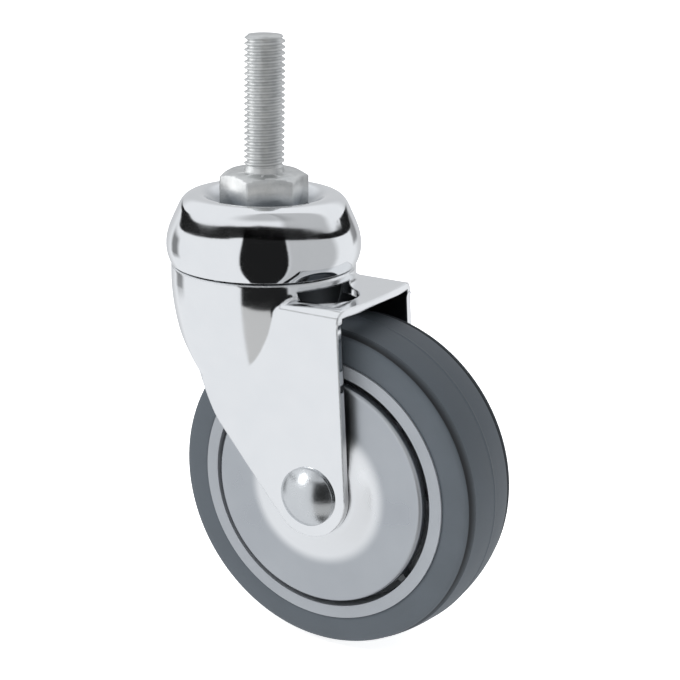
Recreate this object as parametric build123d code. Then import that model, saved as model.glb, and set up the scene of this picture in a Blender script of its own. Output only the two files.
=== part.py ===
from build123d import *
import os
from math import asin, atan2, cos, pi, radians, sin, sqrt, tan

# Swivel castor with a threaded stem and a 100 mm wheel, in millimetres.
# Origin: centre of the hexagon's top face, on the swivel axis. +Z runs up the stem,
# +X is the trailing side, where the wheel sits, and Y is the axle's direction (-Y is the near side).

# ---- driving dimensions ----
WHEEL_DIA = 100.0
TRAIL = 29.6                 # swivel axis to the axle
SHEET = 2.5                  # pressed fork's sheet

# stem
THREAD_DIA = 12.0
STEM_LENGTH = 40.0
STEM_CHAMFER = 1.0
HEX_ACROSS = 23.0
HEX_HEIGHT = 9.6
HEX_TOP_DIA = 21.0           # ring that the top chamfer leaves
HEX_CHAMFER_ANGLE = 30.0
HEX_TURN = 41.0              # about Z, from a corner on +X
RIVET_DIA = 17.0
RIVET_HEIGHT = 3.0

# cap
CAP_DIA = 58.2
CAP_SHEET = 1.6
CAP_CREST_INSET = 9.1        # rim's crest inside the widest ring
CAP_RISE = 3.1               # rim's crest above the dished floor
CAP_FLOOR_DIA = 26.0
CAP_BARREL_DROP = 12.2       # floor to the widest ring
CAP_FULLNESS = 0.665         # how square the shoulder is: 0.707 would be a plain ellipse
CAP_SKIRT_DROP = 17.6        # floor to the lower edge
CAP_TUCK = 1.4               # mouth inside the widest ring

# swivel bearing
BALL_DIA = 5.0
BALL_CLEARANCE = 0.08
UPPER_BALLS = 22
UPPER_BALL_SPACE = 0.44      # between neighbouring balls of the upper row
LOWER_BALLS = 13
LOWER_BALL_SPACE = 0.51
RACE_SHEET = 2.0
RACE_THROAT = 1.0            # pressed cup's flat stops this far inside the dished floor's edge
RACE_LIP = 0.9               # race's lip past the balls' middle
RACE_MOUTH_STEP = (1.2, 0.6) # upper race's inner corner: inside the ball circle, above the groove
RACE_THROAT_STEP = 1.4       # how much further in the cup's inner face turns
COLLAR_GAP = 0.7             # lower race's collar to the hub above it
COLLAR_INSET = 1.3           # collar inside the lower ball circle
LOWER_RACE_INSET = 0.8       # lower race's edge inside its groove's edge
LOWER_RACE_STEP = 1.1        # lower race's step below the balls' middle
SHANK_CLEARANCE = 0.05
WASHER_THICKNESS = 2.0
WASHER_DIA = 24.0

# fork
LEG_ROOM = 6.7               # wheel's side to the outside of the leg
WHEEL_ROOM = 4.7             # tread to the underside of the plate
CAP_TO_BOSS = 0.5            # gap under the cap's lower edge
BOSS_HEIGHT = 4.6            # boss above the rear plate
BOSS_EDGE_ROUND = 0.6
BLEND_ROUND = 2.0            # hollow where the boss and skirt run into the plate and legs
SKIRT_WAIST = (1.5, 12.0)    # how far the skirt draws in from the boss, and how far below the plate
SKIRT_FOOT_INSET = 0.2       # skirt's foot inside the legs' outer faces
SKIRT_FOOT_DROP = 27.0
BEND_RADIUS = 3.6            # outside of the plate-to-leg bend
PLATE_REACH = 38.4           # swivel axis to the plate's rear corners
PLATE_BOW = 1.9              # rear edge's bulge at the middle
LEG_KNEE = (-14.0, 21.5)     # front edge of the legs: X, and how far below the plate
LEG_CALF = (-3.0, 38.5)
KNEE_ROUND = 20.0
CALF_ROUND = 30.0
SHOULDER_ROUND = 4.0         # rear corner under the plate
LEG_END_RADIUS = 12.4
BROW = (1.0, 3.5)            # front corner: beyond the boss, and below the plate
BROW_ROUND = 3.0
HUB_HOLE_DIA = 17.0
HUB_EDGE = 1.0               # bevel on the raised hub
HUB_RISE = 0.8               # underside of the raised hub above the upper balls' middle
HOLE_DIA = 21.2              # round hole in the plate
HOLE_PLACE = (24.7, -6.3)

# wheel
CORE_WIDTH = 29.6
TYRE_DEPTH = 9.8             # tread to the core
RIM_WALL = 3.7
TYRE_SIDE_INSET = 1.0        # tread's edge inside the core's face
TREAD_CROWN = 1.9            # tread's middle above its edges
TREAD_BEAD = (0.7, 0.1)      # bead at the tread's edge: its depth, and how far it stands out
TYRE_FOOT_INSET = 0.5        # side wall's foot inside the core's face
PARTING_RIDGE = (0.15, 0.4)  # height and width of the ridge round the tread
CORE_KEY = (3.0, 1.2)        # groove that holds the tyre: in from the core's face, and deep
HUB_DIA = 34.0
HUB_INSET = 1.6              # hub's face inside the core's face
WEB_WIDTH = 9.0
HUB_DRAFT = 1.0              # slope where the web meets the hub
RIM_HAUNCH = 1.5             # slope where the web meets the rim
RIM_HAUNCH_DEPTH = 2.0
CORE_BORE_GAP = 2.5          # core's bore to the sleeve
RIB_COUNT = 8
RIB_THICKNESS = 2.4
RIB_RISE = 4.0               # rib's edge beyond the web
RIB_BITE = 0.75              # how far each end of a rib runs into the hub and the rim

# axle and its bearings
AXLE_DIA = 8.0
AXLE_CLEARANCE = 0.1
HEAD_DIA = 17.6
HEAD_HEIGHT = 4.6
HEAD_RIM = 0.9               # straight edge under the head's dome
TIP_CHAMFER = 0.8
SLEEVE_DIA = 12.0
SLEEVE_CLEARANCE = 0.04
BEARING_DIA = 28.0
BEARING_WIDTH = 8.0
BEARING_BALL_DIA = 4.76
BEARING_BALLS = 8
CAGE_WIDTH = 6.2
CAGE_WALL = 1.8
RACE_SHOULDER = 0.9          # how far each ring reaches past the bottom of its track
SPACER_WALL = 2.4
MIDDLE_SPACER_WALL = 1.6
GUARD_SHEET = 1.2
GUARD_GAP = 1.9              # guard's edge to the rim
GUARD_FLAT_DIA = 27.0
GUARD_STEP_DIA = 43.0
GUARD_STEP_RISE = 1.9        # foot of the guard's cone beyond the core's face
GUARD_RIM_RISE = 1.45        # guard's rim beyond the core's face
GUARD_LIP = 2.8
GUARD_EDGE = 0.6             # bevel round the guard's edge
GUARD_SET = 0.4              # inner corners' step inwards, which keeps the cone's wall even
NUT_ACROSS = 13.0
NUT_HEIGHT = 5.0
NUT_WASHER_DIA = 16.0
NUT_WASHER_THICKNESS = 1.6
NUT_CORNER = (0.6, 0.6)      # corner radius as a share of the flats, and the bevel's height
NUT_COLLAR_INSET = 0.7
NUT_COLLAR_BITE = 0.5        # how far the collar runs into the nut
NYLON_HEIGHT = 1.6
NYLON_WALL = 1.2
AXLE_END = 0.8               # bolt's tip beyond the nut

# ---- places worked out from the sizes above ----
ball_radius = BALL_DIA / 2
groove_radius = ball_radius + BALL_CLEARANCE
stem_radius = THREAD_DIA / 2
shank_bore = stem_radius + SHANK_CLEARANCE
floor_z = -HEX_HEIGHT
cap_crest_radius = CAP_DIA / 2 - CAP_CREST_INSET
cap_mouth_radius = CAP_DIA / 2 - CAP_TUCK
boss_radius = cap_mouth_radius
upper_circle = UPPER_BALLS * (BALL_DIA + UPPER_BALL_SPACE) / (2 * pi)
lower_circle = LOWER_BALLS * (BALL_DIA + LOWER_BALL_SPACE) / (2 * pi)
cap_mouth_z = floor_z - CAP_SKIRT_DROP
boss_top = cap_mouth_z - CAP_TO_BOSS
plate_top = boss_top - BOSS_HEIGHT
upper_ball_z = boss_top + groove_radius
hub_radius = upper_circle - groove_radius      # wall that the upper balls run against
lower_cup_radius = lower_circle + groove_radius
hub_under_z = upper_ball_z + HUB_RISE          # underside of the raised hub
hub_top = hub_under_z + SHEET
lower_ball_z = hub_under_z - groove_radius
lower_race_foot = lower_ball_z - groove_radius - RACE_SHEET
washer_foot = lower_race_foot - WASHER_THICKNESS
leg_face = CORE_WIDTH / 2 + LEG_ROOM
leg_inner = leg_face - SHEET
guard_face = leg_inner - GUARD_SHEET           # guard's inner face, where the sleeve ends
bearing_face = CORE_WIDTH / 2 - HUB_INSET
core_radius = WHEEL_DIA / 2 - TYRE_DEPTH
rim_inner_radius = core_radius - RIM_WALL
rim_web_radius = rim_inner_radius - RIM_HAUNCH
guard_radius = rim_inner_radius - GUARD_GAP
guard_rim_face = CORE_WIDTH / 2 + GUARD_RIM_RISE
axle_drop = WHEEL_DIA / 2 + WHEEL_ROOM + SHEET - plate_top
axle_centre = (TRAIL, 0, -axle_drop)
axle_place = Location(axle_centre)


def turned(outline):
    """Solid turned about Z from an outline of (radius, height) corners."""
    return revolve(Plane.XZ * make_face(Polyline(*outline, close=True)), Axis.Z)


def wheel_turned(outline):
    """Solid turned about the axle from an outline of (radius, distance from the middle)."""
    return axle_place * revolve(make_face(Polyline(*outline, close=True)), Axis.Y)


def ring(inner, outer, low, high):
    """Plain ring about Z."""
    return turned([(inner, low), (outer, low), (outer, high), (inner, high)])


def axle_ring(inner, outer, low, high):
    """Plain ring about the axle."""
    return wheel_turned([(inner, low), (outer, low), (outer, high), (inner, high)])


def mirrored(shape):
    """The same piece on the far side of the wheel."""
    return mirror(shape, Plane.XZ)


def ball_row(count, circle, radius, axis_z=True):
    """Evenly spaced balls as separate solids."""
    balls = []
    for number in range(count):
        turn = 2 * pi * number / count
        across, along = circle * cos(turn), circle * sin(turn)
        place = (across, along, 0) if axis_z else (across, 0, along)
        balls.append(Pos(*place) * Sphere(radius))
    return balls


def groove_ring(circle, radius, height):
    """Torus that cuts a ball groove about Z."""
    return Pos(0, 0, height) * Torus(circle, radius)


def threaded_stem():
    """Stem with its forged hexagon, the shank below it and the riveted end."""
    spread = HEX_ACROSS / sqrt(3) + 1
    fall = (spread - HEX_TOP_DIA / 2) * tan(radians(HEX_CHAMFER_ANGLE))
    stem = turned([(0, -HEX_HEIGHT), (stem_radius, -HEX_HEIGHT), (stem_radius, STEM_LENGTH - STEM_CHAMFER),
                   (stem_radius - STEM_CHAMFER, STEM_LENGTH), (0, STEM_LENGTH)])
    prism = RegularPolygon(HEX_ACROSS / 2, 6, major_radius=False, rotation=HEX_TURN)
    hexagon = extrude(prism, -HEX_HEIGHT) & turned([
        (0, 0), (HEX_TOP_DIA / 2, 0), (spread, -fall), (spread, -HEX_HEIGHT), (0, -HEX_HEIGHT)])
    rim = (RIVET_DIA / 2, washer_foot)
    tip = (0, washer_foot - RIVET_HEIGHT)
    shank = revolve(Plane.XZ * make_face([
        Polyline(tip, (0, -HEX_HEIGHT), (stem_radius, -HEX_HEIGHT), (stem_radius, washer_foot), rim),
        RadiusArc(rim, tip, (rim[0] ** 2 + RIVET_HEIGHT ** 2) / (2 * RIVET_HEIGHT))]), Axis.Z)
    return stem + hexagon + shank


def cap_side(inset):
    """Section of the cap from its floor over the crest to the mouth, inset by the sheet."""
    crest, floor = floor_z + CAP_RISE - inset, floor_z - inset
    centre = (cap_crest_radius, floor_z - CAP_BARREL_DROP)
    wide, high = CAP_CREST_INSET - inset, CAP_RISE + CAP_BARREL_DROP - inset
    start, mouth = (CAP_FLOOR_DIA / 2, floor), (cap_mouth_radius - inset, cap_mouth_z)
    dish = Spline(start, (centre[0], crest), tangents=[(1, 0), (1, 0)])
    shoulder = (centre[0] + CAP_FULLNESS * wide, centre[1] + CAP_FULLNESS * high)
    waist = centre[0] + wide
    barrel = Spline((centre[0], crest), shoulder, (waist, centre[1]), tangents=[(1, 0), (0, -1)])
    tuck, fall = waist - mouth[0], centre[1] - cap_mouth_z
    skirt = RadiusArc((waist, centre[1]), mouth, (tuck ** 2 + fall ** 2) / (2 * tuck))
    return start, mouth, [dish, barrel, skirt]


def swivel_cap():
    """Drawn cap: dished floor, rolled crest, barrel side and drawn-in mouth."""
    top, mouth_out, outer = cap_side(0)
    under, mouth_in, inner = cap_side(CAP_SHEET)
    bore = Polyline(under, (shank_bore, under[1]), (shank_bore, top[1]), top)
    return revolve(Plane.XZ * make_face([bore, *outer, Line(mouth_out, mouth_in), *inner]), Axis.Z)


def upper_race():
    """Pressed cup under the cap's floor that bears on the upper balls from above and outside."""
    top = floor_z - CAP_SHEET
    throat = CAP_FLOOR_DIA / 2 - RACE_THROAT
    outer = upper_circle + groove_radius + RACE_SHEET
    cup = turned([(shank_bore, top), (throat, top), (outer, upper_ball_z + groove_radius),
                  (outer, upper_ball_z + RACE_LIP), (upper_circle, upper_ball_z + RACE_LIP),
                  (upper_circle - RACE_MOUTH_STEP[0], upper_ball_z + groove_radius + RACE_MOUTH_STEP[1]),
                  (throat - RACE_THROAT_STEP, top - RACE_SHEET), (shank_bore, top - RACE_SHEET)])
    return cup - groove_ring(upper_circle, groove_radius, upper_ball_z)


def lower_race():
    """Collared ring on the shank that holds the lower balls from below and inside."""
    collar_top = hub_under_z - COLLAR_GAP
    collar = lower_circle - COLLAR_INSET
    edge, step = lower_cup_radius - LOWER_RACE_INSET, lower_ball_z - LOWER_RACE_STEP
    body = turned([(shank_bore, lower_race_foot), (edge, lower_race_foot), (edge, step),
                   (collar, step), (collar, collar_top), (shank_bore, collar_top)])
    return body - groove_ring(lower_circle, groove_radius, lower_ball_z)


def clamp_washer():
    """Flat washer between the lower race and the riveted end."""
    return ring(shank_bore, WASHER_DIA / 2, washer_foot, lower_race_foot)


def bell(inset):
    """Round boss and skirt below the cap, drawn in towards its foot."""
    top = boss_top - inset
    radius = boss_radius - inset
    waist = (boss_radius - SKIRT_WAIST[0] - inset, plate_top - SKIRT_WAIST[1])
    foot = (leg_face - SKIRT_FOOT_INSET - inset, plate_top - SKIRT_FOOT_DROP)
    outline = [Line((0, top), (radius, top)), Line((radius, top), (radius, plate_top)),
               ThreePointArc((radius, plate_top), waist, foot),
               Line(foot, (0, foot[1])), Line((0, foot[1]), (0, top))]
    return revolve(Plane.XZ * make_face(outline), Axis.Z)


def leg_block(inset):
    """Lower part of the fork: flat legs, round front and the rear plate that joins the legs."""
    width = 2 * (leg_face - inset)
    height = axle_drop + 2 * LEG_END_RADIUS + plate_top
    reach = PLATE_REACH * 2
    block = Pos(reach / 2, 0, plate_top - inset - height / 2) * Box(reach, width, height)
    edges = block.edges().filter_by(Axis.X).group_by(Axis.Z)[-1]
    return fillet(edges, BEND_RADIUS - inset)


def fork_shell(inset):
    """Boss, skirt, rear plate and legs as one solid, inset by the sheet for the fork's inside."""
    wrap = Pos(0, 0, plate_top - SKIRT_FOOT_DROP) * Cylinder(leg_face - inset, 1.6 * SKIRT_FOOT_DROP)
    return bell(inset) + leg_block(inset) + wrap


def fork_outside():
    """Outside of the fork, with the boss blended into the plate and the skirt into the legs."""
    shell = fork_shell(0)
    level = shell.edges().filter_by_position(Axis.Z, plate_top - 0.01, plate_top + 0.01)
    corner = [edge for edge in level if edge.geom_type != GeomType.LINE and edge.center().X > 0]
    blended = fillet(corner, BLEND_ROUND)
    return fillet(blended.edges().group_by(Axis.Z)[-1], BOSS_EDGE_ROUND)


def tangent_point(start, centre, radius, side):
    """Point where a line from start touches a circle, on its left (1) or right (-1)."""
    across, fall = centre[0] - start[0], centre[1] - start[1]
    span = sqrt(across ** 2 + fall ** 2)
    heading = atan2(fall, across) + side * asin(radius / span)
    run = sqrt(span ** 2 - radius ** 2)
    return start[0] + run * cos(heading), start[1] + run * sin(heading)


def leg_outline():
    """Side view of the fork, from the boss down to the round leg ends."""
    axle = (TRAIL, -axle_drop)
    top = boss_top + BROW[0]
    brow = (-boss_radius - BROW[0], plate_top - BROW[1])
    knee = (LEG_KNEE[0], plate_top - LEG_KNEE[1])
    calf = (LEG_CALF[0], plate_top - LEG_CALF[1])
    shoulder = (PLATE_REACH, plate_top - BEND_RADIUS)
    front = tangent_point(calf, axle, LEG_END_RADIUS, -1)
    back = tangent_point(shoulder, axle, LEG_END_RADIUS, 1)
    reach = PLATE_REACH + PLATE_BOW
    corners = [(reach, top), (brow[0], top), brow, knee, calf, front, back, shoulder,
               (reach, plate_top - BEND_RADIUS / 2)]
    rounds = [0, 0, BROW_ROUND, KNEE_ROUND, CALF_ROUND, 0, 0, SHOULDER_ROUND, 0]
    sheet = make_face(FilletPolyline(*corners, radius=rounds, close=True))
    return sheet + Pos(*axle) * Circle(LEG_END_RADIUS)


def fork():
    """Pressed fork: boss with both ball tracks, rear plate, round front skirt and two legs."""
    shell = fork_outside() - fork_shell(SHEET)
    body = shell & extrude(Plane.XZ * leg_outline(), 2 * leg_face, both=True)
    # The raised hub: the upper balls run round it, and the lower balls run inside it.
    body -= Pos(0, 0, boss_top) * Cylinder(hub_radius, 4 * SHEET)
    hub_corner = hub_radius + SHEET
    body += turned([(HUB_HOLE_DIA / 2, hub_under_z), (lower_cup_radius, hub_under_z),
                    (lower_cup_radius, boss_top - SHEET), (hub_corner, boss_top - SHEET),
                    (hub_corner, boss_top), (hub_radius, boss_top), (hub_radius, hub_top - HUB_EDGE),
                    (hub_radius - HUB_EDGE, hub_top), (HUB_HOLE_DIA / 2, hub_top)])
    # Rear edge, hole and axle holes.
    reach, bow, clear = PLATE_REACH, PLATE_REACH + PLATE_BOW, PLATE_REACH * 1.5
    bowed = make_face([ThreePointArc((reach, -leg_face), (bow, 0), (reach, leg_face)),
                       Line((reach, leg_face), (clear, leg_face)),
                       Line((clear, leg_face), (clear, -leg_face)),
                       Line((clear, -leg_face), (reach, -leg_face))])
    body -= Pos(0, 0, plate_top - BEND_RADIUS) * extrude(bowed, 2 * BEND_RADIUS)
    # The hole runs on under the boss, through its wall but not its top.
    hole_top, hole_foot = boss_top - SHEET, plate_top - 2 * SHEET
    body -= Pos(*HOLE_PLACE, (hole_top + hole_foot) / 2) * Cylinder(HOLE_DIA / 2, hole_top - hole_foot)
    axle_hole = Plane.XZ * Pos(TRAIL, -axle_drop) * Circle(AXLE_DIA / 2 + AXLE_CLEARANCE)
    return body - extrude(axle_hole, 2 * leg_face, both=True)


def wheel_core():
    """Moulded centre: rim with a bright face each side, thin ribbed web and bored hub."""
    rim, web = CORE_WIDTH / 2, WEB_WIDTH / 2
    bore, seat = SLEEVE_DIA / 2 + CORE_BORE_GAP, BEARING_DIA / 2
    step, (key, depth) = bearing_face - BEARING_WIDTH, CORE_KEY
    half = [(bore, 0), (bore, step), (seat, step), (seat, bearing_face), (HUB_DIA / 2, bearing_face),
            (HUB_DIA / 2 + HUB_DRAFT, web), (rim_web_radius, web),
            (rim_inner_radius, web + RIM_HAUNCH_DEPTH), (rim_inner_radius, rim), (core_radius, rim),
            (core_radius, rim - key), (core_radius - depth, rim - key - depth), (core_radius - depth, 0)]
    outline = half + [(radius, -along) for radius, along in reversed(half) if along > 0]
    core = wheel_turned(outline)
    rib = Pos(HUB_DIA / 4 + rim_web_radius / 2, 0, 0) * Box(
        rim_web_radius - HUB_DIA / 2 + 2 * RIB_BITE, 2 * (web + RIB_RISE), RIB_THICKNESS)
    for number in range(RIB_COUNT):
        core += axle_place * Rot(0, 360 * number / RIB_COUNT, 0) * rib
    return core


def tyre():
    """Rubber tyre moulded on the core: flat side walls, shoulder bead and crowned tread."""
    wall, tread = CORE_WIDTH / 2 - TYRE_SIDE_INSET, WHEEL_DIA / 2
    edge = tread - TREAD_CROWN
    side, (key, depth) = CORE_WIDTH / 2 - TYRE_FOOT_INSET, CORE_KEY
    lip = CORE_WIDTH / 2 - key
    half = [(edge, wall), (edge - TREAD_BEAD[0], wall + TREAD_BEAD[1]), (core_radius, side),
            (core_radius, lip), (core_radius - depth, lip - depth)]
    crown = ThreePointArc((edge, -wall), (tread, 0), (edge, wall))
    inside = Polyline(*half, *[(radius, -along) for radius, along in reversed(half)])
    body = revolve(make_face([crown, inside]), Axis.Y)
    height, width = PARTING_RIDGE
    ridge = Cylinder(tread + height, width) - Cylinder(edge, width)
    return axle_place * (body + Rot(90, 0, 0) * ridge)


def thread_guard():
    """Pressed disc between the leg and the wheel: flat middle, short cone, flat rim and turned-in lip."""
    hole = AXLE_DIA / 2 + AXLE_CLEARANCE
    flat, step, edge = GUARD_FLAT_DIA / 2, GUARD_STEP_DIA / 2, guard_radius
    step_face = CORE_WIDTH / 2 + GUARD_STEP_RISE
    wall, lip = edge - GUARD_SHEET, guard_rim_face - GUARD_LIP
    outer = [(hole, leg_inner), (flat, leg_inner), (step, step_face), (edge - GUARD_EDGE, guard_rim_face),
             (edge, guard_rim_face - GUARD_EDGE), (edge, lip)]
    inner = [(wall, lip), (wall, guard_rim_face - GUARD_SHEET), (step - GUARD_SET, step_face - GUARD_SHEET),
             (flat - GUARD_SET, guard_face), (hole, guard_face)]
    return wheel_turned(outer + inner)


def axle_sleeve():
    """Tube between the guards that the bearings sit on."""
    return axle_ring(AXLE_DIA / 2 + AXLE_CLEARANCE, SLEEVE_DIA / 2, -guard_face, guard_face)


def axle_bolt():
    """Bolt with a plain domed head on the near side."""
    tip = leg_face + NUT_WASHER_THICKNESS + NUT_HEIGHT + NYLON_HEIGHT + AXLE_END
    head, shank = HEAD_DIA / 2, AXLE_DIA / 2
    dome = HEAD_HEIGHT - HEAD_RIM
    edge = (head, -leg_face - HEAD_RIM)
    crown = (0, -leg_face - HEAD_HEIGHT)
    outline = [Polyline(crown, (0, tip), (shank - TIP_CHAMFER, tip), (shank, tip - TIP_CHAMFER),
                        (shank, -leg_face), (head, -leg_face), edge),
               RadiusArc(edge, crown, (head ** 2 + dome ** 2) / (2 * dome))]
    return axle_place * revolve(make_face(outline), Axis.Y)


def axle_nut():
    """Hexagon lock nut with a round collar that holds its nylon ring."""
    foot = leg_face + NUT_WASHER_THICKNESS
    hexagon = Plane.XZ * RegularPolygon(NUT_ACROSS / 2, 6, major_radius=False)
    top, flat, (share, bevel) = foot + NUT_HEIGHT, NUT_ACROSS / 2, NUT_CORNER
    corner = NUT_ACROSS * share
    body = axle_place * Pos(0, top, 0) * extrude(hexagon, NUT_HEIGHT)
    nut = body & wheel_turned([(0, foot), (flat, foot), (corner, foot + bevel), (corner, top - bevel),
                               (flat, top), (0, top)])
    nut += axle_ring(AXLE_DIA / 2 + NYLON_WALL, flat - NUT_COLLAR_INSET, top - NUT_COLLAR_BITE,
                     top + NYLON_HEIGHT)
    return nut - axle_ring(0, AXLE_DIA / 2, foot - 1, top + 1)


def nut_insert():
    """Nylon ring in the lock nut's collar."""
    low = leg_face + NUT_WASHER_THICKNESS + NUT_HEIGHT
    return axle_ring(AXLE_DIA / 2, AXLE_DIA / 2 + NYLON_WALL, low, low + NYLON_HEIGHT)


def axle_washer():
    """Flat washer under the nut."""
    return axle_ring(AXLE_DIA / 2 + AXLE_CLEARANCE, NUT_WASHER_DIA / 2, leg_face,
                     leg_face + NUT_WASHER_THICKNESS)


# ---- wheel bearing, far side first; the near one is its mirror ----
bearing_bore = SLEEVE_DIA / 2 + SLEEVE_CLEARANCE
bearing_circle = (bearing_bore + BEARING_DIA / 2) / 2
bearing_groove = BEARING_BALL_DIA / 2 + BALL_CLEARANCE
bearing_middle = bearing_face - BEARING_WIDTH / 2


def bearing_groove_cut():
    """Torus that cuts both ball tracks of a wheel bearing."""
    track = Rot(90, 0, 0) * Torus(bearing_circle, bearing_groove)
    return axle_place * Pos(0, bearing_middle, 0) * track


def inner_race():
    """Inner ring with its ball track."""
    outer = bearing_circle - bearing_groove + RACE_SHOULDER
    body = axle_ring(bearing_bore, outer, bearing_face - BEARING_WIDTH, bearing_face)
    return body - bearing_groove_cut()


def outer_race():
    """Outer ring with its ball track."""
    inner = bearing_circle + bearing_groove - RACE_SHOULDER
    body = axle_ring(inner, BEARING_DIA / 2, bearing_face - BEARING_WIDTH, bearing_face)
    return body - bearing_groove_cut()


def bearing_balls():
    """Ball set of one wheel bearing."""
    balls = ball_row(BEARING_BALLS, bearing_circle, BEARING_BALL_DIA / 2, axis_z=False)
    return [axle_place * Pos(0, bearing_middle, 0) * ball for ball in balls]


def ball_cage():
    """Flat ring with a round pocket for each ball."""
    body = axle_ring(bearing_circle - CAGE_WALL / 2, bearing_circle + CAGE_WALL / 2,
                     bearing_middle - CAGE_WIDTH / 2, bearing_middle + CAGE_WIDTH / 2)
    pocket = Pos(bearing_circle, 0, 0) * Rot(0, 90, 0) * Cylinder(bearing_groove, 2 * CAGE_WALL)
    for number in range(BEARING_BALLS):
        turn = Rot(0, 360 * number / BEARING_BALLS, 0)
        body -= axle_place * Pos(0, bearing_middle, 0) * turn * pocket
    return body


def end_spacer():
    """Short tube between a bearing's inner ring and the guard."""
    return axle_ring(bearing_bore, SLEEVE_DIA / 2 + SPACER_WALL, bearing_face, guard_face)


def middle_spacer():
    """Tube between the two bearings' inner rings."""
    step = bearing_face - BEARING_WIDTH
    return axle_ring(bearing_bore, SLEEVE_DIA / 2 + MIDDLE_SPACER_WALL, -step, step)


def write_parts():
    """One STEP file for each node."""
    os.makedirs("parts", exist_ok=True)
    near_balls = [mirrored(ball) for ball in bearing_balls()]
    nodes = {
        "threaded_stem": threaded_stem(),
        "swivel_cap": swivel_cap(),
        "upper_race": upper_race(),
        "upper_balls": Compound(children=[Pos(0, 0, upper_ball_z) * ball for ball in
                                          ball_row(UPPER_BALLS, upper_circle, ball_radius)]),
        "fork": fork(),
        "lower_balls": Compound(children=[Pos(0, 0, lower_ball_z) * ball for ball in
                                          ball_row(LOWER_BALLS, lower_circle, ball_radius)]),
        "lower_race": lower_race(),
        "clamp_washer": clamp_washer(),
        "wheel_core": wheel_core(),
        "tyre": tyre(),
        "axle_bolt": axle_bolt(),
        "axle_sleeve": axle_sleeve(),
        "axle_washer": axle_washer(),
        "axle_nut": axle_nut(),
        "nut_insert": nut_insert(),
        "middle_spacer": middle_spacer(),
        "near_bearing_balls": Compound(children=near_balls),
        "far_bearing_balls": Compound(children=bearing_balls()),
    }
    paired = {"thread_guard": thread_guard(), "inner_race": inner_race(), "outer_race": outer_race(),
              "ball_cage": ball_cage(), "end_spacer": end_spacer()}
    for name, piece in paired.items():
        nodes["far_" + name] = piece
        nodes["near_" + name] = mirrored(piece)
    for name, piece in nodes.items():
        export_step(piece, f"parts/{name}.step")


write_parts()
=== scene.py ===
import math

import bmesh
import bpy
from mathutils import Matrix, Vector


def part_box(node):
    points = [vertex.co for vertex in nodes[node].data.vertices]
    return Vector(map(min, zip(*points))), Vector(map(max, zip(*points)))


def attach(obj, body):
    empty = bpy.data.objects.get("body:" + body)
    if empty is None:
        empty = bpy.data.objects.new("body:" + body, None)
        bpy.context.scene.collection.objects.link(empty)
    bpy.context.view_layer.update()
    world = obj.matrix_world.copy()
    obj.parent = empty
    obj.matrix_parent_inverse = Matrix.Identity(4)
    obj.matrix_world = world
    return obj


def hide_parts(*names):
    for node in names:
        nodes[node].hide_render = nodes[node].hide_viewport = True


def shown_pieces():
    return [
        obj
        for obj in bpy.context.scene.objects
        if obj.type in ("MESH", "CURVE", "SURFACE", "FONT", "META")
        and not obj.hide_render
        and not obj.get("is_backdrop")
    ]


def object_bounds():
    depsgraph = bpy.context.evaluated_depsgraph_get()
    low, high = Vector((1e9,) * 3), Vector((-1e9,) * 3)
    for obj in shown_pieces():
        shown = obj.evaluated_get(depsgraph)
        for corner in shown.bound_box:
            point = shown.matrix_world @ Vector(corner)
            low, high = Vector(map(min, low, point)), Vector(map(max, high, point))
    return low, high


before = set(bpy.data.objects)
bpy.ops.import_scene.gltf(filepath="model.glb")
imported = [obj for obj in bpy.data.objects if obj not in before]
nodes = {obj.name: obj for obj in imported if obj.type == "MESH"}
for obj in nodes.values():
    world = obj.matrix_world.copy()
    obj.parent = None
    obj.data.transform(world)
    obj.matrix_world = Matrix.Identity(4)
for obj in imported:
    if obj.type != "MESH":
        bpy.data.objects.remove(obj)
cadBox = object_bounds()
scene = bpy.context.scene
mm = 0.001


def toLinear(hexText):
    # sRGB hex to the linear colour that shaders take, with the standard's own constants
    parts = [int(hexText[i:i + 2], 16) / 255 for i in (1, 3, 5)]
    return [c / 12.92 if c <= 0.04045 else ((c + 0.055) / 1.055) ** 2.4 for c in parts] + [1.0]


def addNode(tree, kind, settings=None, inputs=None):
    # one node: its settings by name, then its sockets by name or number, each a value or a node's output
    # a Mix node of colours has its share at 0, its colours at 6 and 7 and its result at output 2
    node = tree.nodes.new(kind)
    for name, value in (settings or {}).items():
        setattr(node, name, value)
    for key, value in (inputs or {}).items():
        if isinstance(value, bpy.types.NodeSocket):
            tree.links.new(value, node.inputs[key])
        else:
            node.inputs[key].default_value = value
    return node


def newMaterial(name):
    # an empty node material, and its tree
    material = bpy.data.materials.new(name)
    material.use_nodes = True
    material.node_tree.nodes.clear()
    return material, material.node_tree


def closeMaterial(tree, shader):
    # the shader to the material's output
    addNode(tree, "ShaderNodeOutputMaterial", inputs={"Surface": shader.outputs[0]})


def inMillimetres(tree):
    # object coordinates in millimetres, so that every pattern below has a real size
    where = addNode(tree, "ShaderNodeTexCoord")
    return addNode(tree, "ShaderNodeVectorMath", {"operation": "SCALE"},
                   {0: where.outputs["Object"], "Scale": 1 / mm}).outputs[0]


print("finishes")

noiseSpan = (0.3, 0.7)      # a cloudy noise keeps nearly all its values between these

# sizes in mm; spread is the lowest and highest share of the roughness that the noise gives
chromeLook = {
    "tone": "#f3f4f5", "shade": "#eaecee", "roughness": 0.05, "spread": (0.8, 1.7),
    "hazeSize": 9.0, "hazeSpan": (0.35, 0.7),
    "waveSize": 26.0, "waveHeight": 0.6, "waveStrength": 0.35, "edgeRound": 0.4,
    # painted shade: the two darker colours below are painted in the cap's dish and inside the fork, where
    # shade falls
    "paintedShadeTone": "#92989f", "paintedShadeDark": "#82888e", "dullRoughness": 0.16,
}
# inside the fork the painted shade is darker still
forkLook = dict(chromeLook, roughness=0.075, edgeRound=0.9,
                paintedShadeTone="#54575a", paintedShadeDark="#3c3f42", dullRoughness=0.38)
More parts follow.
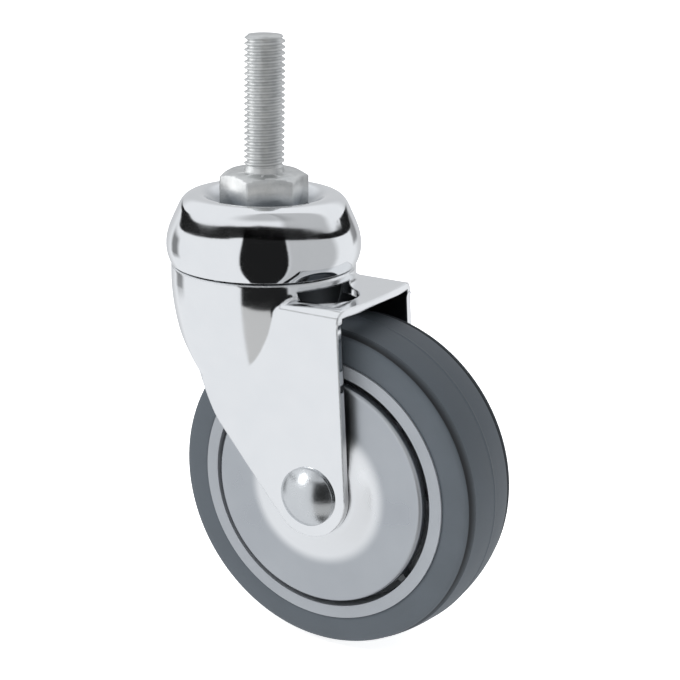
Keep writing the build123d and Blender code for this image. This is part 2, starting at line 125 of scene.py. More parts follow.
# the cap's dish, with painted shade: radii that the painted shade fades between, and the height that it lies
# over
capDish = {"bottom": 12.0, "crest": 19.5, "above": -11.4}
forkInside = {
    # painted shade between the legs and under the plate's top, and inside the front skirt's cone
    "rearHalf": 19.3, "rearUnder": -34.6,
    "skirtHeights": (-59.0, -40.0), "skirtRadii": (20.2, 25.6), "skirtUnder": -29.9,
}


def paintedShadeInDish(tree, place):
    # 1 beside the hexagon and 0 at the rim's crest: where the dish gets painted shade, darkest by the hexagon
    split = addNode(tree, "ShaderNodeSeparateXYZ", inputs={0: place})
    flat = addNode(tree, "ShaderNodeCombineXYZ", inputs={
        "X": split.outputs["X"], "Y": split.outputs["Y"]})
    radius = addNode(tree, "ShaderNodeVectorMath", {"operation": "LENGTH"}, {0: flat.outputs[0]})
    near = addNode(tree, "ShaderNodeMapRange", {"interpolation_type": "SMOOTHSTEP"}, {
        "Value": radius.outputs["Value"], "From Min": capDish["bottom"], "From Max": capDish["crest"],
        "To Min": 1.0, "To Max": 0.0})
    high = addNode(tree, "ShaderNodeMath", {"operation": "GREATER_THAN"}, {
        0: split.outputs["Z"], 1: capDish["above"]})
    both = addNode(tree, "ShaderNodeMath", {"operation": "MULTIPLY"}, {
        0: near.outputs[0], 1: high.outputs[0]})
    return both.outputs[0]


def paintedShadeInFork(tree, place):
    # 1 on the fork's inner faces and in the plate's hole, where painted shade darkens the chrome
    split = addNode(tree, "ShaderNodeSeparateXYZ", inputs={0: place})
    across = addNode(tree, "ShaderNodeMath", {"operation": "ABSOLUTE"}, {0: split.outputs["Y"]})
    between = addNode(tree, "ShaderNodeMath", {"operation": "LESS_THAN"}, {
        0: across.outputs[0], 1: forkInside["rearHalf"]})
    under = addNode(tree, "ShaderNodeMath", {"operation": "LESS_THAN"}, {
        0: split.outputs["Z"], 1: forkInside["rearUnder"]})
    behind = addNode(tree, "ShaderNodeMath", {"operation": "GREATER_THAN"}, {
        0: split.outputs["X"], 1: 0.0})
    rear = addNode(tree, "ShaderNodeMath", {"operation": "MULTIPLY"}, {
        0: between.outputs[0], 1: under.outputs[0]})
    rear = addNode(tree, "ShaderNodeMath", {"operation": "MULTIPLY"}, {
        0: rear.outputs[0], 1: behind.outputs[0]})
    flat = addNode(tree, "ShaderNodeCombineXYZ", inputs={
        "X": split.outputs["X"], "Y": split.outputs["Y"]})
    radius = addNode(tree, "ShaderNodeVectorMath", {"operation": "LENGTH"}, {0: flat.outputs[0]})
    lowest, highest = forkInside["skirtHeights"]
    narrow, wide = forkInside["skirtRadii"]
    skirt = addNode(tree, "ShaderNodeMapRange", inputs={
        "Value": split.outputs["Z"], "From Min": lowest, "From Max": highest,
        "To Min": narrow, "To Max": wide})
    within = addNode(tree, "ShaderNodeMath", {"operation": "LESS_THAN"}, {
        0: radius.outputs["Value"], 1: skirt.outputs[0]})
    low = addNode(tree, "ShaderNodeMath", {"operation": "LESS_THAN"}, {
        0: split.outputs["Z"], 1: forkInside["skirtUnder"]})
    front = addNode(tree, "ShaderNodeMath", {"operation": "MULTIPLY"}, {
        0: within.outputs[0], 1: low.outputs[0]})
    either = addNode(tree, "ShaderNodeMath", {"operation": "MAXIMUM"}, {
        0: rear.outputs[0], 1: front.outputs[0]})
    return either.outputs[0]


def brightChromePlate(name, look, paintedShadeMask):
    # bright chrome plate over drawn sheet steel, buffed: mirror pictures that swim slightly where the sheet
    # was drawn, a faint buffing haze, and painted shade, a darker and rougher plate, where the mask says
    material, tree = newMaterial(name)
    place = inMillimetres(tree)
    wave = addNode(tree, "ShaderNodeTexNoise", inputs={
        "Vector": place, "Scale": 1 / look["waveSize"], "Detail": 1.0})
    haze = addNode(tree, "ShaderNodeTexNoise", inputs={
        "Vector": place, "Scale": 1 / look["hazeSize"], "Detail": 6.0, "Roughness": 0.6})
    rough = addNode(tree, "ShaderNodeMapRange", inputs={
        "Value": haze.outputs[0], "From Min": look["hazeSpan"][0], "From Max": look["hazeSpan"][1],
        "To Min": look["roughness"] * look["spread"][0], "To Max": look["roughness"] * look["spread"][1]})
    corner = addNode(tree, "ShaderNodeBevel", {"samples": 6}, {"Radius": look["edgeRound"] * mm})
    ripple = addNode(tree, "ShaderNodeBump", inputs={
        "Strength": look["waveStrength"], "Distance": look["waveHeight"] * mm,
        "Height": wave.outputs[0], "Normal": corner.outputs[0]})
    buffed = addNode(tree, "ShaderNodeMix", {"data_type": "RGBA"}, {
        0: haze.outputs[0], 6: toLinear(look["shade"]), 7: toLinear(look["tone"])})
    # painted shade: the darker colour that the mask mixes in
    paintedShade = addNode(tree, "ShaderNodeMix", {"data_type": "RGBA"}, {
        0: haze.outputs[0], 6: toLinear(look["paintedShadeDark"]), 7: toLinear(look["paintedShadeTone"])})
    # where the painted shade goes, which also takes the rougher finish
    share = paintedShadeMask(tree, place)
    colour = addNode(tree, "ShaderNodeMix", {"data_type": "RGBA"}, {
        0: share, 6: buffed.outputs[2], 7: paintedShade.outputs[2]})
    finish = addNode(tree, "ShaderNodeMix", inputs={
        0: share, 2: rough.outputs[0], 3: look["dullRoughness"]})
    shader = addNode(tree, "ShaderNodeBsdfPrincipled", inputs={
        "Base Color": colour.outputs[2], "Metallic": 1.0, "Roughness": finish.outputs[0],
        "Normal": ripple.outputs[0]})
    closeMaterial(tree, shader)
    return material


zincLook = {
    "dark": "#c4c6c6", "light": "#dadbda", "roughness": 0.34, "spread": (0.85, 1.25),
    "blotch": 3.2, "grit": 0.55, "gritHeight": 0.05, "gritStrength": 0.3, "edgeRound": 0.25,
}
nutLook = dict(zincLook, dark="#a6a7a6", light="#c4c5c5", roughness=0.28, edgeRound=0.2)
headLook = dict(zincLook, dark="#cdd0d3", light="#d6d9db", roughness=0.24, blotch=9.0, edgeRound=0.5)
raceLook = dict(zincLook, dark="#8b8d8f", light="#a7a9ab", roughness=0.3, edgeRound=0.15)
ballLook = dict(zincLook, dark="#b5b7b9", light="#c9cbcd", roughness=0.1, edgeRound=0.05)


def barrelPlatedSteel(name, look):
    # barrel zinc plate over turned and forged steel: dull silver with cloudy blotches and a fine grit
    # the bolt's nickel plate, the hardened races and the ground balls use it in their own tones and shine
    # the plate's crystals are about 0.05 mm, and are drawn coarser so that they show
    material, tree = newMaterial(name)
    place = inMillimetres(tree)
    cloud = addNode(tree, "ShaderNodeTexNoise", inputs={
        "Vector": place, "Scale": 1 / look["blotch"], "Detail": 5.0, "Roughness": 0.65})
    grit = addNode(tree, "ShaderNodeTexNoise", inputs={
        "Vector": place, "Scale": 1 / look["grit"], "Detail": 2.0})
    tone = addNode(tree, "ShaderNodeMapRange", inputs={
        "Value": cloud.outputs[0], "From Min": noiseSpan[0], "From Max": noiseSpan[1]})
    rough = addNode(tree, "ShaderNodeMapRange", inputs={
        "Value": cloud.outputs[0], "From Min": noiseSpan[0], "From Max": noiseSpan[1],
        "To Min": look["roughness"] * look["spread"][0], "To Max": look["roughness"] * look["spread"][1]})
    corner = addNode(tree, "ShaderNodeBevel", {"samples": 4}, {"Radius": look["edgeRound"] * mm})
    bump = addNode(tree, "ShaderNodeBump", inputs={
        "Strength": look["gritStrength"], "Distance": look["gritHeight"] * mm,
        "Height": grit.outputs[0], "Normal": corner.outputs[0]})
    colour = addNode(tree, "ShaderNodeMix", {"data_type": "RGBA"}, {
        0: tone.outputs[0], 6: toLinear(look["dark"]), 7: toLinear(look["light"])})
    shader = addNode(tree, "ShaderNodeBsdfPrincipled", inputs={
        "Base Color": colour.outputs[2], "Metallic": 1.0, "Roughness": rough.outputs[0],
        "Normal": bump.outputs[0]})
    closeMaterial(tree, shader)
    return material


discLook = {
    # the cone's two colours are a painted highlight, lighter than the rim's
    "dark": "#abafb4", "light": "#bfc3c7", "coneHighlightDark": "#e6e8ea", "coneHighlightLight": "#f2f3f4",
    "coneHighlightEdge": (19.5, 23.5),                       # radii between which the cone's painted highlight fades out
    "roughness": 0.3, "spread": (0.85, 1.2), "anisotropy": 0.55,
    "patch": 14.0, "lineSpacing": 0.6, "lineHeight": 0.02, "lineStrength": 0.12,
}


def zincSpunSheet(name, look, centre):
    # bright zinc sheet spun to shape: rings round the axle smear the light, and the cone has a painted
    # highlight, a lighter colour out to its edge
    # the tool's lines are about 0.1 mm apart, and are drawn coarser so that they show
    material, tree = newMaterial(name)
    place = inMillimetres(tree)
    fromAxle = addNode(tree, "ShaderNodeVectorMath", {"operation": "SUBTRACT"}, {0: place, 1: centre})
    split = addNode(tree, "ShaderNodeSeparateXYZ", inputs={0: fromAxle.outputs[0]})
    flat = addNode(tree, "ShaderNodeCombineXYZ", inputs={
        "X": split.outputs["X"], "Y": split.outputs["Z"]})
    radius = addNode(tree, "ShaderNodeVectorMath", {"operation": "LENGTH"}, {0: flat.outputs[0]})
    rings = addNode(tree, "ShaderNodeTexNoise", {"noise_dimensions": "1D"}, {
        "W": radius.outputs["Value"], "Scale": 1 / look["lineSpacing"], "Detail": 3.0, "Roughness": 0.7})
    cloud = addNode(tree, "ShaderNodeTexNoise", inputs={
        "Vector": place, "Scale": 1 / look["patch"], "Detail": 2.0})
    rough = addNode(tree, "ShaderNodeMapRange", inputs={
        "Value": cloud.outputs[0], "From Min": noiseSpan[0], "From Max": noiseSpan[1],
        "To Min": look["roughness"] * look["spread"][0], "To Max": look["roughness"] * look["spread"][1]})
    bump = addNode(tree, "ShaderNodeBump", inputs={
        "Strength": look["lineStrength"], "Distance": look["lineHeight"] * mm,
        "Height": rings.outputs[0]})
    rim = addNode(tree, "ShaderNodeMix", {"data_type": "RGBA"}, {
        0: cloud.outputs[0], 6: toLinear(look["dark"]), 7: toLinear(look["light"])})
    # painted highlight: the cone's lighter colour, faded out towards the rim
    cone = addNode(tree, "ShaderNodeMix", {"data_type": "RGBA"}, {
        0: cloud.outputs[0], 6: toLinear(look["coneHighlightDark"]), 7: toLinear(look["coneHighlightLight"])})
    outside = addNode(tree, "ShaderNodeMapRange", {"interpolation_type": "SMOOTHSTEP"}, {
        "Value": radius.outputs["Value"],
        "From Min": look["coneHighlightEdge"][0], "From Max": look["coneHighlightEdge"][1]})
    colour = addNode(tree, "ShaderNodeMix", {"data_type": "RGBA"}, {
        0: outside.outputs[0], 6: cone.outputs[2], 7: rim.outputs[2]})
    around = addNode(tree, "ShaderNodeTangent", {"direction_type": "RADIAL", "axis": "Y"})
    shader = addNode(tree, "ShaderNodeBsdfPrincipled", inputs={
        "Base Color": colour.outputs[2], "Metallic": 1.0, "Roughness": rough.outputs[0],
        "Normal": bump.outputs[0], "Anisotropic": look["anisotropy"], "Tangent": around.outputs[0]})
    closeMaterial(tree, shader)
    return material


coreLook = {
    "dark": "#84888d", "light": "#93979c", "roughness": 0.42, "ior": 1.49,
    "patch": 18.0, "grain": 0.4, "grainHeight": 0.03, "grainStrength": 0.15,
}
nylonLook = dict(coreLook, dark="#d9d6cb", light="#e4e2d8", roughness=0.4)


def mouldedPlastic(name, look):
    # injection-moulded polypropylene or nylon: even colour, soft shine and the mould's fine spark grain
    # the grain is about 0.1 mm, and is drawn coarser so that it shows
    material, tree = newMaterial(name)
    place = inMillimetres(tree)
    cloud = addNode(tree, "ShaderNodeTexNoise", inputs={
        "Vector": place, "Scale": 1 / look["patch"], "Detail": 4.0})
    grain = addNode(tree, "ShaderNodeTexVoronoi", inputs={"Vector": place, "Scale": 1 / look["grain"]})
    bump = addNode(tree, "ShaderNodeBump", inputs={
        "Strength": look["grainStrength"], "Distance": look["grainHeight"] * mm,
        "Height": grain.outputs["Distance"]})
    colour = addNode(tree, "ShaderNodeMix", {"data_type": "RGBA"}, {
        0: cloud.outputs[0], 6: toLinear(look["dark"]), 7: toLinear(look["light"])})
    shader = addNode(tree, "ShaderNodeBsdfPrincipled", inputs={
        "Base Color": colour.outputs[2], "Roughness": look["roughness"], "IOR": look["ior"],
        "Normal": bump.outputs[0]})
    closeMaterial(tree, shader)
    return material


rubberLook = {
    "dark": "#40474d", "light": "#4f565d", "roughness": 0.6, "spread": (0.9, 1.12), "ior": 1.52,
    "patch": 12.0, "grain": 0.5, "grainHeight": 0.05, "grainStrength": 0.3,
    # the cove's colour, painted darker as painted shade, then its distance from the wheel's middle plane, its
    # half width and inner radius with their fades
    "cove": "#1d2024", "coveAt": 11.7, "coveHalf": (0.5, 1.9), "coveFrom": (45.9, 47.2),
}


def greyMouldedRubber(name, look, centre):
    # thermoplastic rubber moulded on the core: matt and slightly dusty, with a fine grain and soft shine
    # the cove by the tread is painted darker, as painted shade
    # the grain is about 0.1 mm, and is drawn coarser so that it shows
    material, tree = newMaterial(name)
    place = inMillimetres(tree)
    fromAxle = addNode(tree, "ShaderNodeVectorMath", {"operation": "SUBTRACT"}, {0: place, 1: centre})
    split = addNode(tree, "ShaderNodeSeparateXYZ", inputs={0: fromAxle.outputs[0]})
    flat = addNode(tree, "ShaderNodeCombineXYZ", inputs={
        "X": split.outputs["X"], "Y": split.outputs["Z"]})
    radius = addNode(tree, "ShaderNodeVectorMath", {"operation": "LENGTH"}, {0: flat.outputs[0]})
    along = addNode(tree, "ShaderNodeMath", {"operation": "ABSOLUTE"}, {0: split.outputs["Y"]})
    away = addNode(tree, "ShaderNodeMath", {"operation": "SUBTRACT"}, {
        0: along.outputs[0], 1: look["coveAt"]})
    away = addNode(tree, "ShaderNodeMath", {"operation": "ABSOLUTE"}, {0: away.outputs[0]})
    inCove = addNode(tree, "ShaderNodeMapRange", {"interpolation_type": "SMOOTHSTEP"}, {
        "Value": away.outputs[0], "From Min": look["coveHalf"][0], "From Max": look["coveHalf"][1],
        "To Min": 1.0, "To Max": 0.0})
    outer = addNode(tree, "ShaderNodeMapRange", {"interpolation_type": "SMOOTHSTEP"}, {
        "Value": radius.outputs["Value"],
        "From Min": look["coveFrom"][0], "From Max": look["coveFrom"][1]})
    coveShade = addNode(tree, "ShaderNodeMath", {"operation": "MULTIPLY"}, {
        0: inCove.outputs[0], 1: outer.outputs[0]})
    cloud = addNode(tree, "ShaderNodeTexNoise", inputs={
        "Vector": place, "Scale": 1 / look["patch"], "Detail": 6.0, "Roughness": 0.6})
    grain = addNode(tree, "ShaderNodeTexNoise", inputs={
        "Vector": place, "Scale": 1 / look["grain"], "Detail": 2.0})
    rough = addNode(tree, "ShaderNodeMapRange", inputs={
        "Value": cloud.outputs[0], "From Min": noiseSpan[0], "From Max": noiseSpan[1],
        "To Min": look["roughness"] * look["spread"][0], "To Max": look["roughness"] * look["spread"][1]})
    bump = addNode(tree, "ShaderNodeBump", inputs={
        "Strength": look["grainStrength"], "Distance": look["grainHeight"] * mm,
        "Height": grain.outputs[0]})
    worn = addNode(tree, "ShaderNodeMix", {"data_type": "RGBA"}, {
        0: cloud.outputs[0], 6: toLinear(look["dark"]), 7: toLinear(look["light"])})
    # painted shade: the cove's darker colour
    colour = addNode(tree, "ShaderNodeMix", {"data_type": "RGBA"}, {
        0: coveShade.outputs[0], 6: worn.outputs[2], 7: toLinear(look["cove"])})
    shader = addNode(tree, "ShaderNodeBsdfPrincipled", inputs={
        "Base Color": colour.outputs[2], "Roughness": rough.outputs[0], "IOR": look["ior"],
        "Normal": bump.outputs[0]})
    closeMaterial(tree, shader)
    return material


axleCentre = sum(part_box("tyre"), Vector()) / 2
axleInMm = [c / mm for c in axleCentre]

chromeCap = brightChromePlate("brightChromePlateCap", chromeLook, paintedShadeInDish)
chromeFork = brightChromePlate("brightChromePlateFork", forkLook, paintedShadeInFork)
zincStem = barrelPlatedSteel("zincPlatedForgedSteel", zincLook)
zincNut = barrelPlatedSteel("zincPlatedNutSteel", nutLook)
headNickel = barrelPlatedSteel("nickelPlatedBoltHead", headLook)
raceSteel = barrelPlatedSteel("hardenedRaceSteel", raceLook)
ballSteel = barrelPlatedSteel("groundBallSteel", ballLook)
guardZinc = zincSpunSheet("brightZincSpunSheet", discLook, axleInMm)
corePlastic = mouldedPlastic("greyMouldedPolypropylene", coreLook)
nylonWhite = mouldedPlastic("naturalMouldedNylon", nylonLook)
tyreRubber = greyMouldedRubber("greyMouldedRubber", rubberLook, axleInMm)

# every CAD node keeps its shape and takes the finish that the real one has
finishOfNode = {
    "swivel_cap": chromeCap, "fork": chromeFork, "upper_race": raceSteel, "lower_race": raceSteel,
    "clamp_washer": zincStem, "upper_balls": ballSteel, "lower_balls": ballSteel,
    "wheel_core": corePlastic, "tyre": tyreRubber, "axle_bolt": headNickel, "axle_sleeve": zincNut,
    "axle_washer": zincNut, "axle_nut": zincNut, "nut_insert": nylonWhite, "middle_spacer": zincNut,
    "near_thread_guard": guardZinc, "far_thread_guard": guardZinc,
    "near_inner_race": raceSteel, "far_inner_race": raceSteel, "near_outer_race": raceSteel,
    "far_outer_race": raceSteel, "near_bearing_balls": ballSteel, "far_bearing_balls": ballSteel,
    "near_ball_cage": nylonWhite, "far_ball_cage": nylonWhite,
    "near_end_spacer": zincNut, "far_end_spacer": zincNut, "threaded_stem": zincStem,
}
for nodeName, finish in finishOfNode.items():
    nodes[nodeName].data.materials.clear()
    nodes[nodeName].data.materials.append(finish)


weldWithin = 1e-6       # m: points nearer than this become one
sliverEdge = 1e-7       # m: an edge or face thinner than this is left out


def spin(mesh, profile, around, axis="Z", centre=(0, 0, 0)):
    # surface turned from a profile of (radius, place along the axis) in mm
    rings = []
    for radius, height in profile:
        ring = []
        for step in range(around):
            turn = 2 * math.pi * step / around
            across, along = radius * math.cos(turn), radius * math.sin(turn)
            spot = Vector((across, along, height)) if axis == "Z" else Vector((across, height, along))
            ring.append(mesh.verts.new((spot + Vector(centre)) * mm))
        rings.append(ring)
    for low, high in zip(rings, rings[1:]):
        for step in range(around):
            following = (step + 1) % around
            mesh.faces.new([low[step], low[following], high[following], high[step]])


def finishPiece(name, mesh, material, body, sharpAngle, replaced):
    # the mesh becomes a piece that rides on its body; edges sharper than the angle (degrees) stay crisp
    bmesh.ops.remove_doubles(mesh, verts=mesh.verts, dist=weldWithin)
    bmesh.ops.dissolve_degenerate(mesh, edges=mesh.edges, dist=sliverEdge)
    bmesh.ops.recalc_face_normals(mesh, faces=mesh.faces)
    data = bpy.data.meshes.new(name)
    mesh.to_mesh(data)
    mesh.free()
    data.shade_smooth()
    data.set_sharp_from_angle(angle=math.radians(sharpAngle))
    data.materials.append(material)
    piece = bpy.data.objects.new(name, data)
    scene.collection.objects.link(piece)
    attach(piece, body)
    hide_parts(replaced)


print("threaded stem")

# mm; heights are over the hexagon's top face
stem = {
    "pitch": 1.75, "outer": 5.97, "depth": 0.95,            # thread: pitch, crest radius and depth
    "crest": 0.14, "root": 0.24,                            # flat shares of one pitch
    "start": 1.2, "runOut": 1.4,                            # where the thread starts, and its fade
    "neckStep": -0.35,                                      # plain neck against the crest radius
    "flare": ((-0.2, 0.9), (0.02, 0.35), (0.03, 0.0)),      # steps and heights of the neck's foot
    "top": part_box("threaded_stem")[1].z / mm, "chamfer": 1.0,
    "cutAbove": 0.05, "around": 84, "sharp": 40,
}
flank = (1 - stem["crest"] - stem["root"]) / 2
# where each flat and flank of one pitch starts, as shares of it
corners = [0.0, stem["crest"], stem["crest"] + flank, stem["crest"] + flank + stem["root"], 1.0]


def threadRadius(share):
    # radius of the thread's section over one pitch: crest flat, flank, root flat, flank
    share %= 1.0
    if share < corners[1]:
        fall = 0.0
    elif share < corners[2]:
        fall = (share - corners[1]) / flank
    elif share < corners[3]:
        fall = 1.0
    else:
        fall = 1 - (share - corners[3]) / flank
    return stem["outer"] - stem["depth"] * fall


def makeThread(mesh):
    # rows follow the helix, so each crest and root edge is one clean line
    sections = [share for low, high in zip(corners, corners[1:]) for share in (low, (low + high) / 2)]
    turns = int((stem["top"] - stem["start"]) / stem["pitch"]) + 2
    rows = [turn + share for turn in range(-1, turns) for share in sections]
    chamferFrom = stem["top"] - stem["chamfer"]
    neckRadius = stem["outer"] + stem["neckStep"]
    grid = []
    for row in rows:
        line = []
        for step in range(stem["around"] + 1):
            share = step / stem["around"]
            height = stem["start"] + (row + share) * stem["pitch"]
            z = min(max(height, stem["start"]), stem["top"])
            radius = min(threadRadius(row), stem["outer"] - max(0.0, z - chamferFrom))
            fade = max(0.0, 1 - (z - stem["start"]) / stem["runOut"])
            radius += (neckRadius - radius) * fade ** 2         # the thread dies out at the neck
            turn = share * 2 * math.pi
            across, along = radius * math.cos(turn), radius * math.sin(turn)
            line.append(mesh.verts.new((across * mm, along * mm, z * mm)))
        grid.append(line)
    for low, high in zip(grid, grid[1:]):
        for step in range(stem["around"]):
            quad = [low[step], low[step + 1], high[step + 1], high[step]]
            if max(v.co.z for v in quad) - min(v.co.z for v in quad) > sliverEdge:
                mesh.faces.new(quad)
    # plain neck that flares to the hexagon, and the flat top
    spin(mesh, [(neckRadius, stem["start"])] + [(stem["outer"] + step, z) for step, z in stem["flare"]],
         stem["around"])
    spin(mesh, [(0.0, stem["top"]), (stem["outer"] - stem["chamfer"], stem["top"])], stem["around"])


# hexagon and shank stay as they are, and only the plain rod over them gives way to the thread
stemMesh = bmesh.new()
stemMesh.from_mesh(nodes["threaded_stem"].data)
rod = [v for v in stemMesh.verts if v.co.z > stem["cutAbove"] * mm]
bmesh.ops.delete(stemMesh, geom=rod, context="VERTS")
makeThread(stemMesh)
finishPiece("threadedStem", stemMesh, zincStem, "stem_head", stem["sharp"], "threaded_stem")


print("tyre")

# mm; the section's points are (radius, distance from the wheel's middle plane)
tyre = {
    "seat": [(39.0, 0.0), (39.0, 10.6), (40.2, 11.8), (40.2, 14.1), (40.45, 14.3)],
    "wall": [(41.2, 14.38), (43.5, 14.36), (45.6, 14.25), (46.9, 14.08), (47.6, 13.85), (48.05, 13.5),
             (48.25, 13.05)],
    "cove": [(47.95, 12.65), (47.55, 12.25), (47.3, 11.8), (47.3, 11.35), (47.6, 10.95), (48.2, 10.6),
             (48.7, 10.35)],
    "tread": 50.0, "treadHalf": 10.2, "crownRadius": 51.06, "crownSteps": 10,
    "ridge": 0.15, "ridgeFoot": 0.32, "ridgeTop": 0.16,         # parting ridge: height and half widths
    "around": 288, "sharp": 50,
}


def tyreSide():
    # half the tyre's section, from the seat on the core to the parting ridge in the middle of the tread
    crown = []
    for step in range(tyre["crownSteps"]):
        along = tyre["treadHalf"] * (1 - step / tyre["crownSteps"])
        drop = tyre["crownRadius"] - math.sqrt(tyre["crownRadius"] ** 2 - along ** 2)
        crown.append((tyre["tread"] - drop, along))
    crest = tyre["tread"] + tyre["ridge"]
    ridge = [(tyre["tread"], tyre["ridgeFoot"]), (crest, tyre["ridgeTop"]), (crest, 0.0)]
    return tyre["seat"] + tyre["wall"] + tyre["cove"] + crown + ridge


side = tyreSide()
section = [(r, -y) for r, y in side] + [(r, y) for r, y in reversed(side[:-1])]
tyreMesh = bmesh.new()
spin(tyreMesh, section, tyre["around"], "Y", axleInMm)
finishPiece("mouldedTyre", tyreMesh, tyreRubber, "wheel", tyre["sharp"], "tyre")


print("thread guards")

# mm
guard = {
    # outer face from the bolt to the turned-in lip: radius, and depth from the flat that the leg clamps
    "face": [(4.1, 0.0), (12.3, 0.0), (13.3, 0.06), (14.4, 0.3), (18.6, 1.65), (20.2, 2.1), (21.6, 2.32),
             (23.4, 2.42), (33.2, 2.75), (34.0, 2.9), (34.45, 3.25), (34.6, 3.8), (34.6, 5.6)],
    "rimPoints": 4,         # the face's last points, round the rolled edge, have none behind them
    "sheet": 1.2, "around": 192, "sharp": 50,
}
rimRadius, lipEnd = guard["face"][-1]
backRadius = rimRadius - guard["sheet"]
back = [(min(radius, backRadius), depth + guard["sheet"])
        for radius, depth in guard["face"][:-guard["rimPoints"]]]
outline = guard["face"] + [(backRadius, lipEnd)] + back[::-1] + guard["face"][:1]
for sideName, toward in (("near", -1), ("far", 1)):
    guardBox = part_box(sideName + "_thread_guard")
    flatAt = (guardBox[0].y if toward < 0 else guardBox[1].y) / mm
    guardMesh = bmesh.new()
    spin(guardMesh, [(radius, flatAt - toward * depth) for radius, depth in outline], guard["around"], "Y",
         (axleInMm[0], 0, axleInMm[2]))
    finishPiece(sideName + "SpunGuard", guardMesh, guardZinc, "fork", guard["sharp"],
                sideName + "_thread_guard")


print("studio")

# metres, degrees, and mm for the lens
camera = {"place": (0.28727, -0.44277, 0.10767), "turn": (73.1676, -0.91345, 30.73354),
          "lens": 96.13, "sensor": 36, "clipStart": 0.01}
lens = bpy.data.cameras.new("camera")
lens.lens = camera["lens"]
lens.sensor_width = camera["sensor"]
lens.clip_start = camera["clipStart"]
lens.dof.use_dof = False
view = bpy.data.objects.new("camera", lens)
view.location = camera["place"]
view.rotation_euler = [math.radians(a) for a in camera["turn"]]
scene.collection.objects.link(view)
scene.camera = view
scene.view_settings.view_transform = "Standard"

# metres and degrees
studio = {
    "floorLight": "#fbfbfb", "floorDark": "#f0f0f0", "floorRoughness": 0.9, "floorGlow": 0.82,
    "floorMottle": 40.0, "floorReach": 6.0, "floorGap": 0.0002,
    "backdrop": "#ffffff", "tent": "#f8fafd", "brightness": 0.93,
    "cameraTurn": -59.6,                    # the camera's azimuth, from which the tent and lamps are turned
    "seamTilt": 0.304, "seamHeight": 0.342,     # seam where the tent's front meets its roof
    "middle": (0.01, -0.015, -0.05),            # middle of the castor, which the lamps face
}

# matt pale floor, lit from within so that it blends with the backdrop; it leaves no mark in the chrome
floorZ = cadBox[0].z - studio["floorGap"]
floorMaterial, floorTree = newMaterial("paleStudioFloor")
mottle = addNode(floorTree, "ShaderNodeTexNoise", inputs={"Scale": studio["floorMottle"], "Detail": 3.0})
floorTone = addNode(floorTree, "ShaderNodeMix", {"data_type": "RGBA"}, {
    0: mottle.outputs[0], 6: toLinear(studio["floorDark"]), 7: toLinear(studio["floorLight"])})
floorShader = addNode(floorTree, "ShaderNodeBsdfPrincipled", inputs={
    "Base Color": floorTone.outputs[2], "Roughness": studio["floorRoughness"],
    "Emission Color": toLinear(studio["backdrop"]), "Emission Strength": studio["floorGlow"]})
closeMaterial(floorTree, floorShader)
floorData = bpy.data.meshes.new("floor")
floorCorners = [(x * studio["floorReach"], y * studio["floorReach"], floorZ)
                for x, y in ((-1, -1), (1, -1), (1, 1), (-1, 1))]
floorData.from_pydata(floorCorners, [], [(0, 1, 2, 3)])
floorData.materials.append(floorMaterial)
floor = bpy.data.objects.new("floor", floorData)
scene.collection.objects.link(floor)
floor.visible_glossy = False
floor.visible_shadow = False
floor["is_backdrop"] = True

# light tent: white all round, with a dark seam, the camera's opening, and greyer places in walls and roof
world = bpy.data.worlds.new("lightTent")
scene.world = world
world.use_nodes = True
tree = world.node_tree
tree.nodes.clear()
where = addNode(tree, "ShaderNodeTexCoord")
turned = addNode(tree, "ShaderNodeVectorRotate", {"rotation_type": "Z_AXIS"}, {
    "Vector": where.outputs["Generated"], "Angle": math.radians(-studio["cameraTurn"])})
axes = addNode(tree, "ShaderNodeSeparateXYZ", inputs={0: turned.outputs[0]})
ahead, right, up = axes.outputs["X"], axes.outputs["Y"], axes.outputs["Z"]      # ahead: to the camera


def softBand(value, low, high, soft):
    # 1 between low and high, with soft edges
    rise = addNode(tree, "ShaderNodeMapRange", {"interpolation_type": "SMOOTHSTEP"}, {
        "Value": value, "From Min": low - soft, "From Max": low + soft})
    fall = addNode(tree, "ShaderNodeMapRange", {"interpolation_type": "SMOOTHSTEP"}, {
        "Value": value, "From Min": high - soft, "From Max": high + soft, "To Min": 1.0, "To Max": 0.0})
    band = addNode(tree, "ShaderNodeMath", {"operation": "MULTIPLY"}, {
        0: rise.outputs[0], 1: fall.outputs[0]})
    return band.outputs[0]


aside = addNode(tree, "ShaderNodeMath", {"operation": "ARCTAN2"}, {0: right, 1: ahead})
sideways = addNode(tree, "ShaderNodeMath", {"operation": "DEGREES"}, {0: aside.outputs[0]}).outputs[0]
levelled = addNode(tree, "ShaderNodeMath", {"operation": "MULTIPLY_ADD"}, {
    0: ahead, 1: -studio["seamTilt"], 2: up})
overSeam = addNode(tree, "ShaderNodeMath", {"operation": "SUBTRACT"}, {
    0: levelled.outputs[0], 1: studio["seamHeight"]}).outputs[0]
# each darker place: its band to the side in degrees, a second band and the direction that this one goes by,
# and the share of the light that it takes; a band is its low edge, high edge and softness
shades = {
    "seam": {"side": (-150, 150, 12), "by": overSeam, "band": (-0.036, 0.028, 0.006), "share": 0.985},
    "opening": {"side": (-25, 31, 1.5), "by": overSeam, "band": (-1.5, 0.0, 0.01), "share": 0.985},
    "roof": {"side": (-40, 40, 24), "by": overSeam, "band": (0.16, 2.0, 0.12), "share": 0.4},
    "farSide": {"side": (-240, 240, 1), "by": ahead, "band": (-2.0, -0.8, 0.12), "share": 0.28},
    "leftSlot": {"side": (-134, -116, 5), "by": up, "band": (-0.3, 0.06, 0.06), "share": 0.72},
    "rightSlot": {"side": (132, 150, 4), "by": up, "band": (-0.1, 0.12, 0.05), "share": 0.65},
    "greyPanel": {"side": (30, 97, 7), "by": up, "band": (-2.0, 2.0, 0.1), "share": 0.4},
}
level = studio["brightness"]
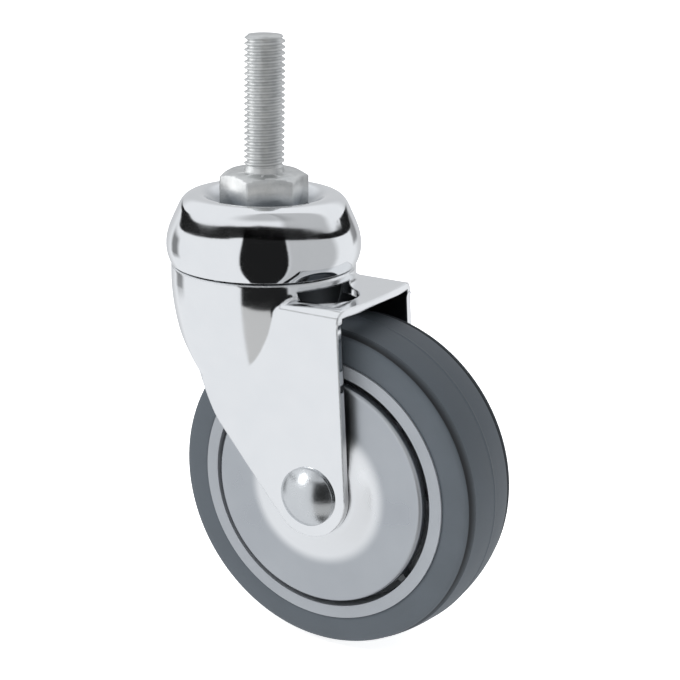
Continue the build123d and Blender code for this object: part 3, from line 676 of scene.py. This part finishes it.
for shade in shades.values():
    across, along = softBand(sideways, *shade["side"]), softBand(shade["by"], *shade["band"])
    dark = addNode(tree, "ShaderNodeMath", {"operation": "MULTIPLY"}, {0: across, 1: along})
    kept = addNode(tree, "ShaderNodeMath", {"operation": "MULTIPLY_ADD"}, {
        0: dark.outputs[0], 1: -shade["share"], 2: 1.0})
    level = addNode(tree, "ShaderNodeMath", {"operation": "MULTIPLY"}, {
        0: level, 1: kept.outputs[0]}).outputs[0]
tent = addNode(tree, "ShaderNodeBackground", inputs={"Color": toLinear(studio["tent"]), "Strength": level})
plain = addNode(tree, "ShaderNodeBackground", inputs={
    "Color": toLinear(studio["backdrop"]), "Strength": 1.0})
path = addNode(tree, "ShaderNodeLightPath")
either = addNode(tree, "ShaderNodeMixShader", inputs={
    0: path.outputs["Is Camera Ray"], 1: tent.outputs[0], 2: plain.outputs[0]})
addNode(tree, "ShaderNodeOutputWorld", inputs={"Surface": either.outputs[0]})

# azimuth in degrees from the camera's, level distance and height in metres from the castor's middle, the
# card's width and height, radiance, whether it stands upright and shows in reflections, and what it lights
lamps = {
    "softBox": {"azimuth": -75, "away": 0.71, "height": 0.84, "size": (0.7, 0.7), "radiance": 4.0,
                "upright": False, "mirrored": False, "lights": None},
    "lowCard": {"azimuth": 3, "away": 1.0, "height": -1.11, "size": (1.06, 1.33), "radiance": 0.56,
                "upright": True, "mirrored": True, "lights": "allButCap"},
    "frontCard": {"azimuth": 3, "away": 0.49, "height": 0.09, "size": (0.62, 0.5), "radiance": 0.55,
                  "upright": False, "mirrored": True, "lights": "dullPieces"},
    "stemCard": {"azimuth": -100, "away": 0.6, "height": 0.12, "size": (0.5, 0.7), "radiance": 0.95,
                 "upright": False, "mirrored": True, "lights": "stem"},
    "glint": {"azimuth": -64, "away": 0.44, "height": 0.24, "size": (0.17, 0.17), "radiance": 4.0,
              "upright": False, "mirrored": True, "lights": "boltHead"},
}
dullPieces = [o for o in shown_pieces() if o.name not in ("swivel_cap", "fork", "axle_bolt")]
groups = {
    "dullPieces": dullPieces,
    "allButCap": dullPieces + [nodes["fork"], nodes["axle_bolt"]],
    "boltHead": [nodes["axle_bolt"]],
    "stem": [o for o in dullPieces if o.name == "threadedStem"],
}
lit = {}
for name, members in groups.items():
    lit[name] = bpy.data.collections.new(name)
    for piece in members:
        lit[name].objects.link(piece)
for name, card in lamps.items():
    lamp = bpy.data.lights.new(name, "AREA")
    lamp.shape = "RECTANGLE"
    lamp.size, lamp.size_y = card["size"]
    lamp.energy = card["radiance"] * math.pi * card["size"][0] * card["size"][1]
    holder = bpy.data.objects.new(name, lamp)
    azimuth = math.radians(studio["cameraTurn"] + card["azimuth"])
    place = Vector((math.cos(azimuth) * card["away"], math.sin(azimuth) * card["away"], card["height"]))
    holder.location = Vector(studio["middle"]) + place
    facing = Vector((place.x, place.y, 0)) if card["upright"] else place
    holder.rotation_euler = facing.to_track_quat("Z", "Y").to_euler()
    holder.visible_glossy = card["mirrored"]
    holder.visible_camera = False
    scene.collection.objects.link(holder)
    if card["lights"]:
        holder.light_linking.receiver_collection = lit[card["lights"]]

print("done")
